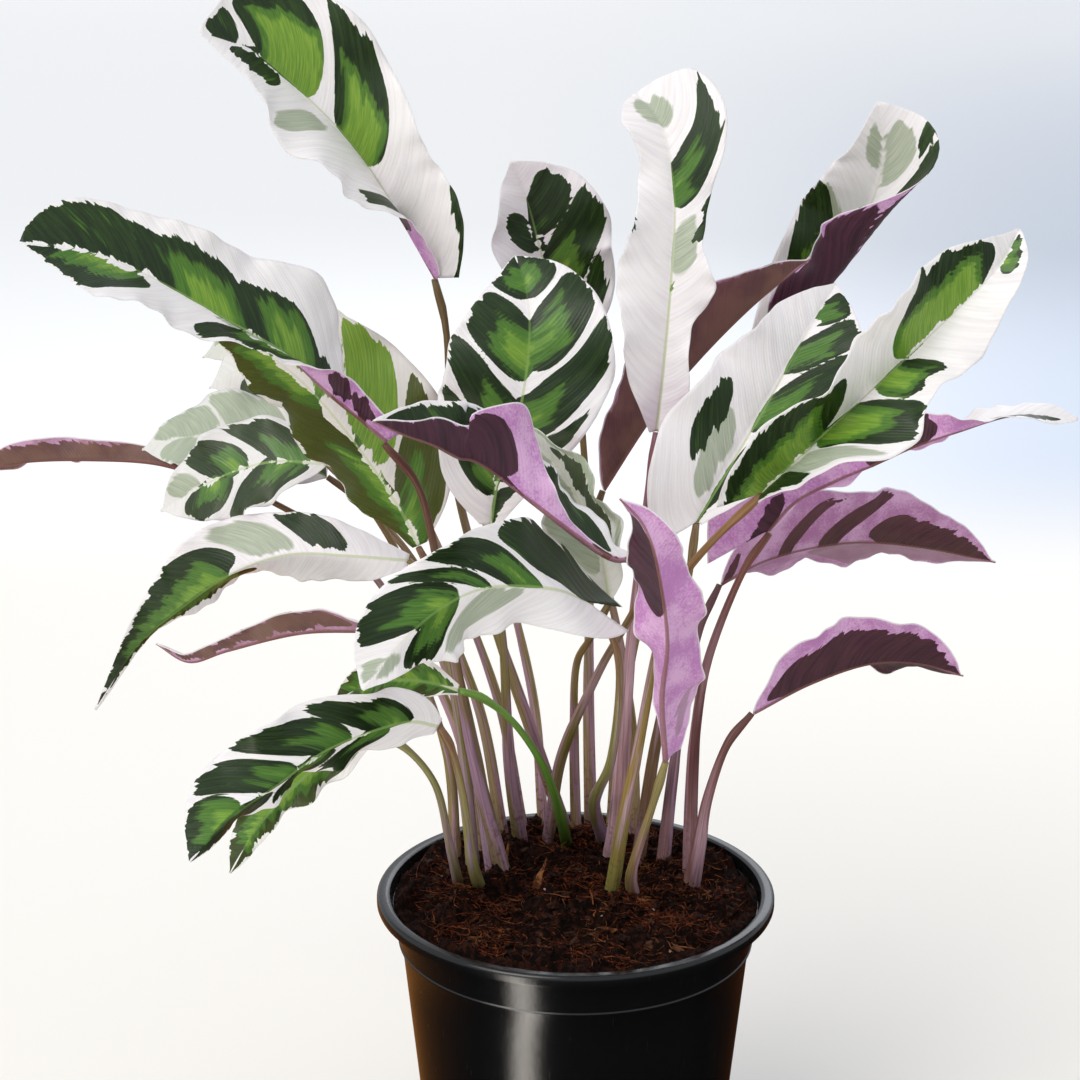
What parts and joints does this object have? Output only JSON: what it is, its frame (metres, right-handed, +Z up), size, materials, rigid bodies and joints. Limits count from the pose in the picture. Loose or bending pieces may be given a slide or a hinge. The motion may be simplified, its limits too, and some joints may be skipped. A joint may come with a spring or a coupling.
{
  "type": "potted plant",
  "caption": "Potted white fusion calathea: variegated, purple-backed leaves on upright stems in a round black nursery pot filled with dark coir.",
  "frame": {"origin": "middle of the pot's flat underside, on the pot's axis", "axes": "+Z up along the pot's axis; -Y towards the viewer of the picture; +X to the viewer's right"},
  "size_m": [0.4264, 0.3067, 0.4714],
  "materials": {
    "pot_plastic": "black moulded plastic, glossy with faint moulding lines",
    "coir_soil": "damp dark red-brown coir with loose fibres, chips and a few white specks",
    "leaf_green_white": "thin leaf, satin; white with dark green, lime and sage patches above, lilac and maroon below",
    "leaf_underside_purple": "thin leaf seen mostly from below, satin lilac and dark maroon",
    "stem_mauve": "smooth fleshy leaf stalk, mauve and pink-brown",
    "stem_olive": "smooth fleshy leaf stalk, olive green to tan, purple-brown in places"
  },
  "bodies": {
    "root": {"leaf_back_left_curled": "leaf_green_white", "leaf_back_left_pale": "leaf_green_white", "leaf_back_left_top": "leaf_green_white", "leaf_back_upright": "leaf_green_white", "leaf_behind_tall": "leaf_underside_purple", "leaf_centre_curled": "leaf_underside_purple", "leaf_centre_hidden": "leaf_green_white", "leaf_centre_upright": "leaf_green_white", "leaf_far_left": "leaf_underside_purple", "leaf_far_right": "leaf_green_white", "leaf_front_centre": "leaf_green_white", "leaf_front_green": "leaf_green_white", "leaf_front_left_low": "leaf_green_white", "leaf_front_twisted": "leaf_underside_purple", "leaf_left_arching": "leaf_green_white", "leaf_left_curled": "leaf_underside_purple", "leaf_left_inner": "leaf_green_white", "leaf_left_low": "leaf_green_white", "leaf_left_middle": "leaf_green_white", "leaf_left_upper": "leaf_green_white", "leaf_right_large": "leaf_green_white", "leaf_right_level": "leaf_underside_purple", "leaf_right_low": "leaf_underside_purple", "leaf_right_upper": "leaf_green_white", "leaf_tall_white": "leaf_green_white", "leaf_top_left": "leaf_green_white", "leaf_top_right": "leaf_green_white", "pot": "pot_plastic", "soil": "coir_soil", "stem_back_left_curled": "stem_olive", "stem_back_left_pale": "stem_olive", "stem_back_left_top": "stem_olive", "stem_back_upright": "stem_olive", "stem_behind_tall": "stem_olive", "stem_centre_curled": "stem_olive", "stem_centre_hidden": "stem_olive", "stem_centre_upright": "stem_mauve", "stem_far_left": "stem_olive", "stem_far_right": "stem_mauve", "stem_front_centre": "stem_olive", "stem_front_green": "stem_olive", "stem_front_left_low": "stem_olive", "stem_front_twisted": "stem_mauve", "stem_left_arching": "stem_olive", "stem_left_curled": "stem_olive", "stem_left_inner": "stem_mauve", "stem_left_low": "stem_olive", "stem_left_middle": "stem_olive", "stem_left_upper": "stem_olive", "stem_right_large": "stem_olive", "stem_right_level": "stem_mauve", "stem_right_low": "stem_mauve", "stem_right_upper": "stem_olive", "stem_tall_white": "stem_mauve", "stem_top_left": "stem_olive", "stem_top_right": "stem_olive"}
  },
  "joints": []
}
